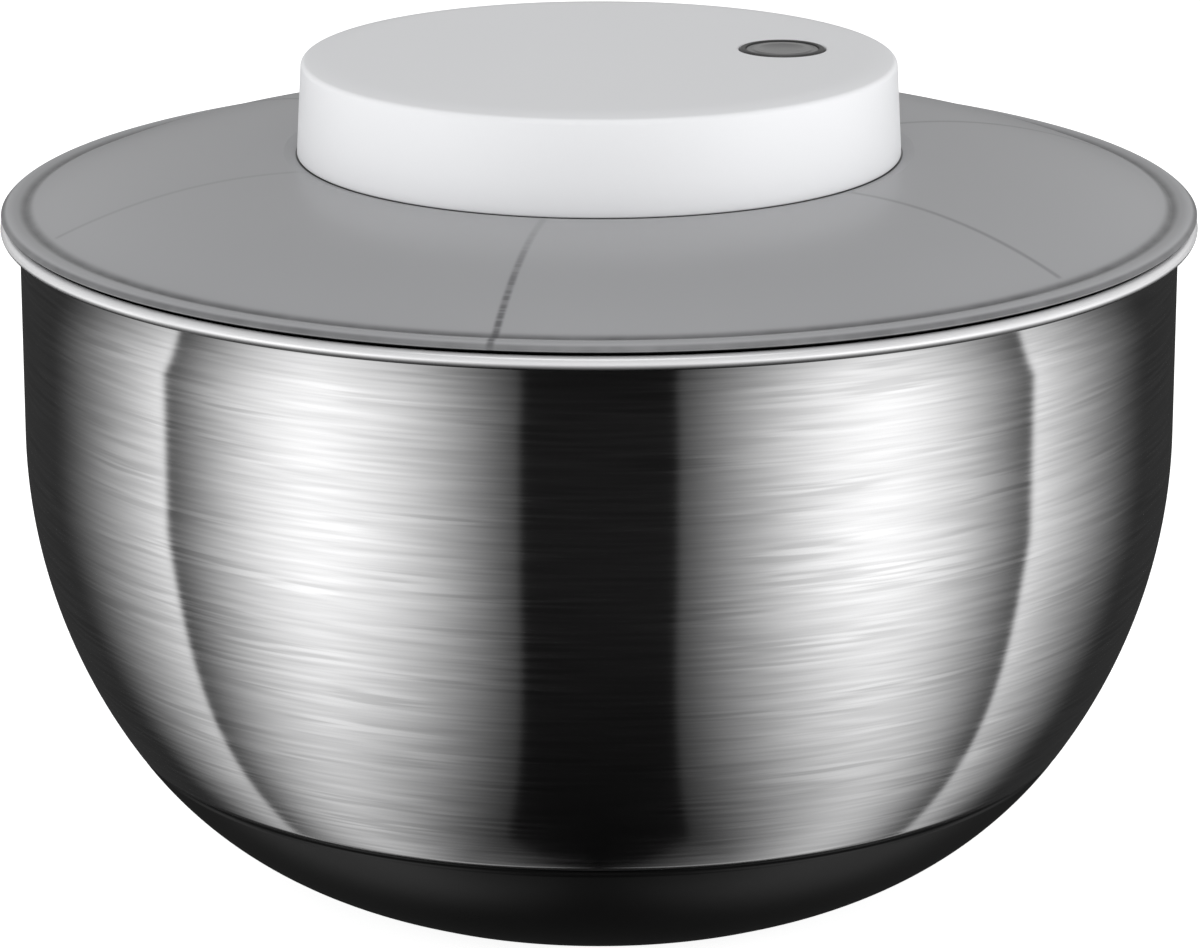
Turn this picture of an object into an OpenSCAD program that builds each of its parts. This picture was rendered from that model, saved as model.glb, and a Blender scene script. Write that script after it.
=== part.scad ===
// Hand-turned salad spinner: steel bowl with a silicone base boot, a slotted basket on a centre
// pivot, and a smoke-grey lid. A wide white drum on the lid is turned by hand or by its pull-up
// knob; a planetary gear train under it turns the basket the other way, 3.8 times as fast.
// The origin is the centre of the flat foot, +Z is up, and the front of the object faces -Y.

/* [Bowl] */
// Outer radius of the straight upper wall
bowl_r = 125.8; // [124:0.1:127]
// Thickness of the steel sheet
sheet_t = 1; // [0.8:0.1:1.2]
// Height of the centre of the rolled rim bead
bead_z = 145.5; // [145:0.1:146]
// Radius of the bead's section
bead_r = 1.5; // [1.2:0.1:1.5]
// Radius from the axis to the centre of the bead
bead_ring_r = 128.4; // [128:0.1:128.6]

/* [Base boot] */
// Height that the silicone boot reaches up the bowl
boot_h = 31; // [24:1:36]
// Thickness of the silicone
boot_t = 1.6; // [1.2:0.1:1.8]

/* [Basket] */
// Gap measured inwards from the bowl's outer surface to the basket's outer surface
basket_gap = 9; // [8:0.5:11]
// Wall thickness of the basket
basket_t = 2; // [1.6:0.1:2.4]
// Slots around the wall in each tier, an even number
wall_slots = 36; // [24:12:36]
// Width of a drain slot
slot_w = 3; // [2:0.5:4]

/* [Lid] */
// Outer radius of the lid's flange
lid_r = 129.7; // [129:0.1:130]
// Thickness of the lid
lid_t = 2.2; // [1.8:0.1:2.4]
// Height of the flat part that the drum turns on
deck_z = 160.3; // [160:0.1:160.5]
// Stiffening ribs under the lid
lid_ribs = 6; // [4:1:8]
// Direction of the first rib
rib_turn = 20.5; // [0:0.5:60]

/* [Drum] */
// Outer radius of the drum at its lower edge
drum_r = 65.6; // [65.2:0.1:66]
// Outer radius of the drum near its top
drum_top_r = 64.6; // [64:0.1:65]
// Height of the drum's top face
drum_top_z = 181; // [180.5:0.1:182]
// Wall thickness of the drum
drum_t = 2.4; // [2:0.1:2.6]

/* [Knob] */
// Radius of the knob
knob_r = 9.3; // [9.1:0.1:9.4]
// Distance of the knob's axis from the drum's axis
knob_ring_r = 40.3; // [40:0.1:42]
// Direction of the knob from the drum's axis
knob_turn = 8.6; // [0:0.1:20]

/* [Gears] */
// Module of all the gears
gear_m = 1; // [1:1]
// Teeth inside the ring gear
ring_teeth = 57; // [57:57]
// Teeth of each planet gear
planet_teeth = 21; // [21:21]
// Teeth of the sun gear
sun_teeth = 15; // [15:15]
// Free play between two meshing flanks
backlash = 0.16; // [0.1:0.01:0.2]

/* [Hidden] */
$fn = 96;
e = 0.01;

// The wall's outline: a straight upper part, a wide arc and a tighter arc down to the foot.
upper_arc_r = 120.85;
lower_arc_r = 83.27;
arc_join = 35.1;
upper_c = [bowl_r - upper_arc_r, 99.6];
lower_c = upper_c + (upper_arc_r - lower_arc_r) * [cos(arc_join), -sin(arc_join)];
wall_step = 4;

foot_r = 52;
foot_relief = 0.8;
floor_z = 2;
boot_hole_r = 12;
joggle_h = 1;
boot_seat = boot_t + 0.1;
bowl_floor_z = floor_z + sheet_t;

pin_r = 3;
pin_top_z = 20;
pin_flange_r = 9;
pin_flange_t = 1.5;
thimble_r = 6;
thimble_z = bowl_floor_z + pin_flange_t + 0.2;
thimble_flange_t = 1.8;
play = 0.05;
tip_gap = 0.2;
thimble_top_z = pin_top_z + tip_gap + 2;

basket_floor_z = 13;
basket_rim_z = 139.2;
basket_rim_t = 2.2;
rim_in_r = 110.3;
rim_out_r = 120;
hub_r = 9.5;
hub_z = thimble_z + thimble_flange_t + 0.3;
hub_top_z = thimble_top_z + 2.7;
slot_in_r = 80;
lugs = 6;
lug_w = 8;
lug_out_r = 113.2;
lug_play = 0.5;

flange_z = bead_z + bead_r + 0.95;
flange_top_z = flange_z + 1.65;
seal_lip_t = 0.7;
brow_r = 3.4;
brow_a = 37.4;
valley_r = 124.3;
skirt_r = 122.6;
skirt_t = 2;
skirt_z = 141;
seal_r = 124.5;
dome_c = [72, deck_z - 128.8];
dome_r = 128.8;
dome_end = 66.5;
collar_r = 61;
collar_t = 2;
collar_top_z = deck_z + 5.2;
hook_lip = 0.8;
deck_low_z = deck_z - 3.2;
deck_pad_r = 48;
deck_hole_r = 36;
rib_t = 1.5;
rib_h = 3.5;
rib_root = 1.7;

house_r = 37;
house_t = 2;
house_floor_z = 147;
house_floor_t = 2.2;
house_flange_r = 47;
house_flange_t = 2.2;
screw_ring_r = 42;
screw_r = 1.4;
screw_head_r = 2.8;
screw_head_t = 1.6;
screw_top_z = deck_z - 0.7;

shaft_r = 3;
shaft_top_z = 170;
planets = 3;
planet_turn = 90;
planet_ring_r = gear_m * (planet_teeth + sun_teeth) / 2;
planet_pin_r = 2.5;
boss_r = 5;
gear_z = 150;
gear_h = 6.8;
pressure = 20;
addendum = 0.8;
dedendum = 1.05;
ring_r = 33.5;
web_z = 157.2;
web_t = 2.8;
drum_hub_r = 8;
drum_screw_ring_r = 22;
drum_screw_r = 1.3;
drum_screw_head_r = 2.6;
drum_screw_head_t = 1.5;
drum_boss_r = 4;
drum_boss_top_z = web_z + 11;

bush_r = 5.5;
bush_top_z = 169;
floor_bush_r = 6;
floor_bush_flange_r = 8;
clip_z = 144.2;
clip_t = 0.8;
clip_r = 5.5;
clip_groove_r = 2.4;
plate_hub_r = 9;
plate_z = 141;
plate_t = 1.8;
plate_r = 109.9;
plate_low_z = 136.5;
plate_hub_low_z = 138.5;
nut_low_z = 134.5;
thread_r = 2.5;

seat_r = 68.5;
seat_depth = 0.5;
drum_z = deck_z - seat_depth;
drum_bevel = 0.35;
drum_fillet = 1.4;
crown_arc_r = 28;
crown_a = 12.4;
hook_top_z = deck_z + 3.5;
glide_r = drum_r + 0.3;
glide_in_r = drum_r - drum_t - 0.3;
glide_groove = 0.8;
glide_low_z = drum_z - glide_groove;
glide_top_z = drum_z - 0.1;
well_r = 9.8;
well_t = 1.8;
well_z = 162.4;
well_lip_t = 1.2;
mouth_r = 9.5;
plug_z = 161;
plug_rim_t = 1;
carrier_z = well_z + tip_gap;
carrier_h = 3;
knob_z = carrier_z + carrier_h + tip_gap;
knob_top_z = drum_top_z + 0.2;
knob_head_r = 4.2;
knob_head_z = 176.6;
knob_head_t = 1.8;
insert_r = 8;
insert_z = 179.2;

function arc(c, r, a0, a1, n) =
    [for (i = [0:n]) let (a = a0 + (a1 - a0) * i / n) c + r * [cos(a), sin(a)]];
function backwards(pts) = [for (i = [len(pts) - 1:-1:0]) pts[i]];

// A point of the wall's outline moved inwards by d, at an angle below the horizontal.
function wall_point(d, a) =
    a <= arc_join ? upper_c + (upper_arc_r - d) * [cos(a), -sin(a)]
                  : lower_c + (lower_arc_r - d) * [cos(a), -sin(a)];
function wall_angle(d, z) =
    let (a = z >= upper_c[1] ? 0 : asin((upper_c[1] - z) / (upper_arc_r - d)))
    a <= arc_join ? a : asin((lower_c[1] - z) / (lower_arc_r - d));
// The outline moved inwards by d, from a low height to a high one.
function wall(d, low, high) =
    let (a0 = wall_angle(d, low), a1 = wall_angle(d, high), n = ceil((a0 - a1) / wall_step))
    concat([for (i = [0:n]) wall_point(d, a0 + (a1 - a0) * i / n)],
        high > upper_c[1] ? [[bowl_r - d, high]] : []);

// Involute gear outlines, with shortened teeth; tooth 0 is centred on +X.
function involute_at(r, base) = base >= r ? 0 : sqrt(r * r / base / base - 1) * 180 / PI - acos(base / r);
function half_tooth(r, teeth, play) =
    let (p = gear_m * teeth / 2, base = p * cos(pressure))
    90 / teeth - play / 2 / p * 90 / PI + involute_at(p, base) - involute_at(r, base);
function gear_outline(teeth, tip, root, play) =
    let (p = gear_m * teeth / 2, tip_r = p + tip, root_r = p - root,
         low_r = max(root_r, p * cos(pressure)),
         flank = [for (i = [0:3]) low_r + (tip_r - low_r) * i / 3],
         side = low_r > root_r ? concat([root_r], flank) : flank)
    [for (k = [0:teeth - 1])
        let (mid = 360 * k / teeth,
             up = [for (r = side) let (a = mid - half_tooth(r, teeth, play)) r * [cos(a), sin(a)]],
             down = [for (r = side) let (a = mid + half_tooth(r, teeth, play)) r * [cos(a), sin(a)]])
        each concat(up, backwards(down))];

function planet_dir(i) = planet_turn + 360 * i / planets;
function planet_phase(i) = 180 + 180 / planet_teeth + planet_dir(i) * (1 + sun_teeth / planet_teeth);

module ring(r, hole, low, high) {
    translate([0, 0, low]) difference() {
        cylinder(r = r, h = high - low);
        translate([0, 0, -1]) cylinder(r = hole, h = high - low + 2);
    }
}

module around(count, ring_radius, turn = 0) {
    for (i = [0:count - 1]) rotate(turn + 360 * i / count) translate([ring_radius, 0, 0]) children();
}

module at_knob() {
    rotate(knob_turn) translate([knob_ring_r, 0, 0]) children();
}

module bowl_shell() {
    outer = concat([[pin_r, floor_z]], wall(boot_seat, floor_z, boot_h),
        wall(0, boot_h + joggle_h, bead_z - bead_r),
        [[bead_ring_r - bead_r, bead_z - 0.6], [bead_ring_r, bead_z - 0.4]]);
    inner = concat([[bead_ring_r, bead_z + 0.6], [bowl_r, bead_z + 0.6], [bowl_r - sheet_t, bead_z - 0.8]],
        backwards(wall(sheet_t, boot_h + joggle_h + sheet_t / 2, bead_z - bead_r - 1)),
        backwards(wall(boot_seat + sheet_t, bowl_floor_z, boot_h + sheet_t / 2)), [[pin_r, bowl_floor_z]]);
    color("silver") rotate_extrude($fn = 180) union() {
        polygon(concat(outer, inner));
        translate([bead_ring_r, bead_z]) circle(r = bead_r, $fn = 32);
    }
}

module base_boot() {
    edge_r = boot_t / 2;
    edge_a = wall_angle(edge_r, boot_h - edge_r);
    edge_c = wall_point(edge_r, edge_a);
    out_dir = [cos(edge_a), -sin(edge_a)];
    up_dir = [sin(edge_a), cos(edge_a)];
    edge = [for (a = [0:30:180]) edge_c + edge_r * (sin(a) * up_dir - cos(a) * out_dir)];
    color([0.06, 0.06, 0.06]) rotate_extrude($fn = 180)
        polygon(concat([[boot_hole_r, floor_z]], wall(boot_t, floor_z, edge[0][1] - 0.3), edge,
            backwards(wall(0, 0, edge[len(edge) - 1][1] - 0.3)),
            [[foot_r, 0], [foot_r - 1, foot_relief], [boot_hole_r, foot_relief]]));
}

module pivot_pin() {
    color("gainsboro") rotate_extrude() polygon(concat([[0, floor_z - 1], [pin_flange_r - 3, floor_z - 1],
        [pin_flange_r - 3, floor_z], [pin_r, floor_z], [pin_r, bowl_floor_z], [pin_flange_r, bowl_floor_z],
        [pin_flange_r, bowl_floor_z + pin_flange_t], [pin_r, bowl_floor_z + pin_flange_t]],
        arc([0, pin_top_z - pin_r], pin_r, 0, 90, 8)));
}

module pivot_thimble() {
    color("white") difference() {
        union() {
            translate([0, 0, thimble_z]) cylinder(r = thimble_r, h = thimble_top_z - thimble_z);
            translate([0, 0, thimble_z]) cylinder(r = pin_flange_r, h = thimble_flange_t);
        }
        translate([0, 0, thimble_z - 1]) cylinder(r = pin_r + play, h = pin_top_z + tip_gap - thimble_z + 1);
    }
}

module basket() {
    shell = concat([[hub_r - 1, basket_floor_z]], wall(basket_gap, basket_floor_z, basket_rim_z - basket_rim_t),
        [[rim_out_r, basket_rim_z - basket_rim_t], [rim_out_r, basket_rim_z], [rim_in_r, basket_rim_z],
        [rim_in_r, basket_rim_z - basket_rim_t]],
        backwards(wall(basket_gap + basket_t, basket_floor_z + basket_t, basket_rim_z - basket_rim_t)),
        [[hub_r - 1, basket_floor_z + basket_t]]);
    tiers = [[32, 66], [74, 128]];
    color([0.93, 0.94, 0.94]) difference() {
        union() {
            rotate_extrude($fn = 180) polygon(shell);
            translate([0, 0, hub_z]) cylinder(r = hub_r, h = hub_top_z - hub_z);
        }
        translate([0, 0, hub_z - 1]) cylinder(r = thimble_r + play, h = thimble_top_z + 0.3 - hub_z + 1);
        for (tier = tiers) around(wall_slots, slot_in_r, 180 / wall_slots)
            translate([0, -slot_w / 2, tier[0]]) cube([bowl_r - slot_in_r, slot_w, tier[1] - tier[0]]);
        around(wall_slots / 2, 24) translate([0, -slot_w / 2, basket_floor_z - 1])
            cube([36, slot_w, basket_t + 2]);
        around(lugs, rim_in_r - 1) translate([0, -lug_w / 2 - lug_play, basket_rim_z - basket_rim_t - 1])
            cube([lug_out_r + lug_play - rim_in_r + 1, lug_w + 2 * lug_play, basket_rim_t + 2]);
    }
}

module lid_shell() {
    brow_c = [lid_r - brow_r * cos(brow_a), flange_top_z + 0.1 - brow_r];
    top = concat([[skirt_r, flange_z], [lid_r - 0.4, flange_z]],
        arc(brow_c, brow_r, brow_a, 100, 8), [[valley_r, flange_top_z - 0.4]],
        arc(dome_c, dome_r, dome_end, 90, 12),
        [[seat_r, deck_z], [glide_r, drum_z], [glide_r, glide_low_z], [glide_in_r, glide_low_z],
        [glide_in_r, deck_z], [collar_r, deck_z], [collar_r, collar_top_z - 1.2],
        [collar_r + hook_lip, collar_top_z - 0.6], [collar_r + hook_lip, collar_top_z],
        [collar_r - collar_t, collar_top_z], [collar_r - collar_t, deck_z], [deck_hole_r, deck_z]]);
    under = concat([[deck_hole_r, deck_low_z], [deck_pad_r, deck_low_z], [deck_pad_r, deck_z - lid_t]],
        arc(dome_c, dome_r - lid_t, 90, dome_end + 1, 12),
        [[skirt_r - skirt_t, flange_z], [skirt_r - skirt_t, skirt_z], [skirt_r, skirt_z]]);
    rib = concat(arc(dome_c, dome_r - rib_root, 90, dome_end + 1.5, 8),
        arc(dome_c, dome_r - lid_t - rib_h, dome_end + 1.5, 90, 8),
        [[deck_pad_r - 1, deck_z - lid_t - rib_h], [deck_pad_r - 1, deck_z - rib_root]]);
    color([0.55, 0.56, 0.58, 0.8]) difference() {
        union() {
            rotate_extrude($fn = 180) polygon(concat(top, under));
            around(lid_ribs, 0, rib_turn) rotate([90, 0, 0]) translate([0, 0, -rib_t / 2])
                linear_extrude(rib_t) polygon(rib);
        }
        around(4, screw_ring_r, 45) translate([0, 0, deck_low_z - 1])
            cylinder(r = screw_r, h = screw_top_z - deck_low_z + 1, $fn = 24);
    }
}

module lid_seal() {
    color([0.1, 0.1, 0.1]) rotate_extrude($fn = 180) polygon([[skirt_r, skirt_z + 0.8],
        [seal_r - 0.8, skirt_z + 0.8], [seal_r, skirt_z + 2], [seal_r, flange_z - seal_lip_t],
        [bead_ring_r - 0.4, flange_z - seal_lip_t], [bead_ring_r - 0.4, flange_z], [skirt_r, flange_z]]);
}

module gear_housing() {
    cup = [[floor_bush_r, house_floor_z], [house_r - 1, house_floor_z], [house_r, house_floor_z + 1],
        [house_r, deck_low_z - house_flange_t], [house_flange_r, deck_low_z - house_flange_t],
        [house_flange_r, deck_low_z], [house_r - house_t, deck_low_z],
        [house_r - house_t, house_floor_z + house_floor_t], [floor_bush_r, house_floor_z + house_floor_t]];
    boss_top_z = gear_z - 0.1;
    color([0.85, 0.86, 0.87]) difference() {
        union() {
            rotate_extrude() polygon(cup);
            around(planets, planet_ring_r, planet_turn) translate([0, 0, house_floor_z + house_floor_t / 2])
                cylinder(r = boss_r, h = boss_top_z - house_floor_z - house_floor_t / 2);
        }
        around(planets, planet_ring_r, planet_turn) translate([0, 0, house_floor_z - 1])
            cylinder(r = planet_pin_r, h = boss_top_z - house_floor_z + 2);
        around(4, screw_ring_r, 45) translate([0, 0, deck_low_z - house_flange_t - 1])
            cylinder(r = screw_r, h = house_flange_t + 2, $fn = 24);
    }
}

module housing_screws() {
    head_z = deck_low_z - house_flange_t - screw_head_t;
    color("gray") around(4, screw_ring_r, 45) translate([0, 0, head_z]) difference() {
        union() {
            cylinder(r = screw_head_r, h = screw_head_t, $fn = 32);
            cylinder(r = screw_r, h = screw_top_z - head_z, $fn = 24);
        }
        for (a = [0, 90]) rotate(a) translate([-1.6, -0.3, -1]) cube([3.2, 0.6, 1.8]);
    }
}

module floor_bush() {
    low_z = house_floor_z - 1.6;
    color("goldenrod") difference() {
        union() {
            translate([0, 0, low_z]) cylinder(r = floor_bush_flange_r, h = 1.6);
            translate([0, 0, low_z]) cylinder(r = floor_bush_r, h = gear_z - tip_gap - low_z);
        }
        translate([0, 0, low_z - 1]) cylinder(r = shaft_r + play, h = 10);
    }
}

module planet_pins() {
    color("gainsboro") around(planets, planet_ring_r, planet_turn)
        translate([0, 0, house_floor_z]) cylinder(r = planet_pin_r, h = web_z - tip_gap - house_floor_z);
}

module glide_ring() {
    color([0.12, 0.12, 0.12]) ring(glide_r, glide_in_r, glide_low_z, glide_top_z);
}

module planet_gear(i) {
    color("ivory") rotate(planet_dir(i)) translate([planet_ring_r, 0, gear_z])
        rotate(planet_phase(i) - planet_dir(i)) difference() {
            linear_extrude(gear_h) polygon(gear_outline(planet_teeth, addendum, dedendum, backlash));
            translate([0, 0, -1]) cylinder(r = planet_pin_r + play, h = gear_h + 2);
        }
}

module planet_gear_1() {
    planet_gear(0);
}

module planet_gear_2() {
    planet_gear(1);
}

module planet_gear_3() {
    planet_gear(2);
}

module drive_shaft() {
    color("gainsboro") rotate_extrude() polygon([[0, nut_low_z - 0.5], [thread_r, nut_low_z - 0.5],
        [thread_r, plate_hub_low_z], [shaft_r, plate_hub_low_z], [shaft_r, clip_z], [clip_groove_r, clip_z],
        [clip_groove_r, clip_z + clip_t], [shaft_r, clip_z + clip_t], [shaft_r, shaft_top_z - 0.5],
        [shaft_r - 0.5, shaft_top_z], [0, shaft_top_z]]);
}

module sun_gear() {
    color("ivory") translate([0, 0, gear_z]) difference() {
        linear_extrude(gear_h) polygon(gear_outline(sun_teeth, addendum, dedendum, backlash));
        translate([0, 0, -1]) cylinder(r = shaft_r, h = gear_h + 2);
    }
}

module shaft_clip() {
    color("dimgray") translate([0, 0, clip_z]) difference() {
        cylinder(r = clip_r, h = clip_t);
        translate([0, 0, -1]) cylinder(r = clip_groove_r, h = clip_t + 2);
        translate([0, -1.6, -1]) cube([clip_r + 1, 3.2, clip_t + 2]);
    }
}

module drive_plate() {
    hub_top = clip_z - 0.2;
    profile = [[shaft_r, plate_hub_low_z], [plate_hub_r, plate_hub_low_z], [plate_hub_r, plate_z],
        [plate_r - 3, plate_z], [plate_r - 2, plate_low_z], [plate_r, plate_low_z],
        [plate_r, plate_z + plate_t], [plate_hub_r, plate_z + plate_t], [plate_hub_r, hub_top],
        [shaft_r, hub_top]];
    color([0.75, 0.77, 0.8]) union() {
        rotate_extrude($fn = 180) polygon(profile);
        around(lugs, plate_r - 2) translate([0, -lug_w / 2, plate_low_z])
            cube([lug_out_r - plate_r + 2, lug_w, plate_z - plate_low_z]);
        around(lugs, plate_hub_r + 3) translate([0, -1, plate_z + plate_t - 0.5]) cube([88, 2, 2.5]);
    }
}

module plate_nut() {
    color("silver") translate([0, 0, nut_low_z]) difference() {
        cylinder(r = 4.6, h = plate_hub_low_z - nut_low_z, $fn = 6);
        translate([0, 0, -1]) cylinder(r = thread_r, h = plate_hub_low_z - nut_low_z + 2);
    }
}

module drum_cap() {
    crown_in = (crown_arc_r - drum_fillet) * [sin(crown_a), cos(crown_a)];
    crown_c = [drum_top_r - drum_fillet - crown_in[0], drum_top_z - crown_arc_r];
    top_z = drum_top_z - drum_t;
    skin = concat([[0, drum_top_z]], arc(crown_c, crown_arc_r, 90, 90 - crown_a, 4),
        arc(crown_c + crown_in, drum_fillet, 90 - crown_a, 2, 6), [[drum_r, drum_z + drum_bevel],
        [drum_r - drum_bevel, drum_z], [drum_r - drum_t, drum_z], [drum_top_r - drum_t, top_z - 1],
        [crown_c[0], top_z], [0, top_z]]);
    color("white") difference() {
        union() {
            rotate_extrude($fn = 180) polygon(skin);
            translate([0, 0, web_z]) cylinder(r = drum_hub_r, h = top_z - web_z + 1);
            around(planets, drum_screw_ring_r, 90) translate([0, 0, web_z + web_t])
                cylinder(r = drum_boss_r, h = top_z - web_z - web_t + 1);
            at_knob() translate([0, 0, well_z]) cylinder(r = well_r + well_t, h = top_z - well_z + 1);
            around(6, 0, 30) rotate([90, 0, 0]) translate([0, 0, -5]) linear_extrude(10)
                polygon([[collar_r + 0.3, hook_top_z - 0.6], [drum_r - drum_t + 0.4, hook_top_z - 2],
                [drum_r - drum_t + 0.4, hook_top_z], [collar_r + 0.3, hook_top_z - 0.1]]);
        }
        translate([0, 0, web_z - 1]) cylinder(r = bush_r, h = bush_top_z - web_z + 1);
        translate([0, 0, bush_top_z - 1]) cylinder(r = shaft_r + 0.6, h = shaft_top_z - bush_top_z + 2);
        around(planets, drum_screw_ring_r, 90) translate([0, 0, web_z + web_t - 1])
            cylinder(r = drum_screw_r, h = drum_boss_top_z - web_z - web_t + 1, $fn = 24);
        at_knob() {
            translate([0, 0, well_z - 1]) cylinder(r = well_r, h = drum_top_z - well_lip_t - well_z + 1);
            translate([0, 0, top_z]) cylinder(r = mouth_r, h = drum_t + 1);
        }
    }
}

module ring_gear() {
    color([0.9, 0.9, 0.88]) difference() {
        translate([0, 0, gear_z + tip_gap]) cylinder(r = ring_r, h = web_z + web_t - gear_z - tip_gap);
        translate([0, 0, gear_z - 1]) linear_extrude(web_z - gear_z + 1)
            polygon(gear_outline(ring_teeth, dedendum, addendum, -backlash));
        translate([0, 0, gear_z]) cylinder(r = drum_hub_r, h = 12);
        around(planets, drum_screw_ring_r, 90) {
            translate([0, 0, web_z - 1]) cylinder(r = drum_screw_head_r, h = drum_screw_head_t + 1, $fn = 32);
            translate([0, 0, web_z]) cylinder(r = drum_screw_r, h = web_t + 1, $fn = 24);
        }
    }
}

module ring_gear_screws() {
    color("gray") around(planets, drum_screw_ring_r, 90) translate([0, 0, web_z]) difference() {
        union() {
            cylinder(r = drum_screw_head_r, h = drum_screw_head_t, $fn = 32);
            cylinder(r = drum_screw_r, h = drum_boss_top_z - web_z - 1, $fn = 24);
        }
        for (a = [0, 90]) rotate(a) translate([-1.4, -0.3, -1]) cube([2.8, 0.6, 1.8]);
    }
}

module hub_bush() {
    color("goldenrod") ring(bush_r, shaft_r + play, web_z + 0.4, bush_top_z);
}

module knob_well_plug() {
    color("white") at_knob() difference() {
        translate([0, 0, plug_z]) cylinder(r = well_r + well_t + plug_rim_t, h = 4);
        translate([0, 0, well_z]) cylinder(r = well_r + well_t, h = 4);
    }
}

module knob_carrier() {
    color([0.3, 0.3, 0.31]) at_knob() difference() {
        translate([0, 0, carrier_z]) cylinder(r = well_r - play, h = carrier_h);
        translate([0, 0, carrier_z + 0.6]) cylinder(r = 2, h = carrier_h);
    }
}

module knob_screw() {
    color("gainsboro") at_knob() difference() {
        union() {
            translate([0, 0, carrier_z + 0.6]) cylinder(r = 2, h = carrier_h);
            translate([0, 0, carrier_z + carrier_h]) cylinder(r = 2.5, h = knob_head_z - carrier_z - carrier_h + e);
            translate([0, 0, knob_head_z]) cylinder(r = knob_head_r, h = knob_head_t);
        }
        translate([0, 0, knob_head_z + 0.8]) cylinder(r = 1.5, h = 2, $fn = 6);
    }
}

module knob() {
    grip = concat([[2.5 + play, knob_z], [knob_r - 0.6, knob_z], [knob_r, knob_z + 0.6]],
        arc([knob_r - 0.8, knob_top_z - 0.8], 0.8, 0, 90, 4), [[insert_r + 0.2, knob_top_z],
        [insert_r, knob_top_z - 0.2], [insert_r, insert_z], [knob_head_r + 0.2, insert_z],
        [knob_head_r + 0.2, knob_head_z - tip_gap], [2.5 + play, knob_head_z - tip_gap]]);
    color([0.28, 0.28, 0.29]) at_knob() rotate_extrude() polygon(grip);
}

module knob_insert() {
    dish_r = 55;
    rim_z = knob_top_z - 0.1;
    dish = arc([0, rim_z - 0.5 + dish_r], dish_r, -90, -90 + asin((insert_r - 1) / dish_r), 6);
    color([0.35, 0.35, 0.36]) at_knob() rotate_extrude() polygon(concat([[0, insert_z], [insert_r, insert_z],
        [insert_r, rim_z - 0.2], [insert_r - 0.2, rim_z], [insert_r - 0.6, rim_z]], backwards(dish)));
}

bowl_shell();
base_boot();
pivot_pin();
pivot_thimble();
basket();
lid_shell();
lid_seal();
gear_housing();
housing_screws();
floor_bush();
planet_pins();
glide_ring();
planet_gear_1();
planet_gear_2();
planet_gear_3();
drive_shaft();
sun_gear();
shaft_clip();
drive_plate();
plate_nut();
drum_cap();
ring_gear();
ring_gear_screws();
hub_bush();
knob_well_plug();
knob_carrier();
knob_screw();
knob();
knob_insert();
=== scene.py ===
"""Looks of a hand-turned salad spinner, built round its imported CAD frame.

The steel bowl stands in a silicone boot and holds a slotted basket. A smoke-grey lid carries the
white drum, whose gears turn the basket. All lengths are in metres, +Z is up and the front is -Y.
"""

import logging
import math
from dataclasses import dataclass, field
from enum import Enum
from typing import Any, Sequence

import bmesh
import bpy
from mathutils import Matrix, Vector


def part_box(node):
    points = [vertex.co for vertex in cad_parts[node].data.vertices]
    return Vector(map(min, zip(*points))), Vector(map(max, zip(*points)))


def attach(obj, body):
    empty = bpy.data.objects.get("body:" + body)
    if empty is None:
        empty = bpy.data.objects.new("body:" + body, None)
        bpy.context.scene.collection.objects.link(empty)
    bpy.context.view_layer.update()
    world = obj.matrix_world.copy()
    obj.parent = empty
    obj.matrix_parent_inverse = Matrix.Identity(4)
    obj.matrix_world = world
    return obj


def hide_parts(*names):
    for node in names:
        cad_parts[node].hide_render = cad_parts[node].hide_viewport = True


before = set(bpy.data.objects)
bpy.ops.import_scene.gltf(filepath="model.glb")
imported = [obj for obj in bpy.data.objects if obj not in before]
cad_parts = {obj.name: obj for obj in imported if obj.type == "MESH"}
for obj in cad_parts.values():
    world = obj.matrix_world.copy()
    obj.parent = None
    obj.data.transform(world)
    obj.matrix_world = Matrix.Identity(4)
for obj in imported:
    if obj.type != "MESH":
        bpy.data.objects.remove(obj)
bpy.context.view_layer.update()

LOG = logging.getLogger("salad_spinner")
MM = 0.001
Point = tuple[float, float]
Colour = tuple[float, float, float]


# ---------------------------------------------------------------- shader sums


class Value:
    """A number or colour socket that takes part in Python sums."""

    def __init__(self, graph: "Graph", socket: Any) -> None:
        """Wraps an output socket of the graph."""
        self.graph = graph
        self.socket = socket

    def _math(self, operation: str, *numbers: Any) -> "Value":
        """Adds a Math node on these numbers or values."""
        sockets = dict(enumerate(numbers))
        return self.graph.out("ShaderNodeMath", {"operation": operation}, sockets)

    def __add__(self, other: Any) -> "Value":
        """self + other."""
        return self._math("ADD", self, other)

    __radd__ = __add__

    def __sub__(self, other: Any) -> "Value":
        """self - other."""
        return self._math("SUBTRACT", self, other)

    def __rsub__(self, other: Any) -> "Value":
        """other - self."""
        return self._math("SUBTRACT", other, self)

    def __mul__(self, other: Any) -> "Value":
        """self * other."""
        return self._math("MULTIPLY", self, other)

    __rmul__ = __mul__

    def __truediv__(self, other: Any) -> "Value":
        """self / other."""
        return self._math("DIVIDE", self, other)

    def __pow__(self, other: Any) -> "Value":
        """self ** other."""
        return self._math("POWER", self, other)

    def __abs__(self) -> "Value":
        """abs(self)."""
        return self._math("ABSOLUTE", self)

    def sin(self) -> "Value":
        """The sine of an angle in radians."""
        return self._math("SINE", self)

    def least(self, other: Any) -> "Value":
        """The smaller of self and other."""
        return self._math("MINIMUM", self, other)

    def most(self, other: Any) -> "Value":
        """The larger of self and other."""
        return self._math("MAXIMUM", self, other)

    def smooth(self, low: float, high: float) -> "Value":
        """0 below low, 1 above high and an S-shaped rise between them; low may be the larger."""
        sockets = {0: self, 1: low, 2: high, 3: 0.0, 4: 1.0}
        return self.graph.out("ShaderNodeMapRange", {"interpolation_type": "SMOOTHSTEP"}, sockets)


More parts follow.
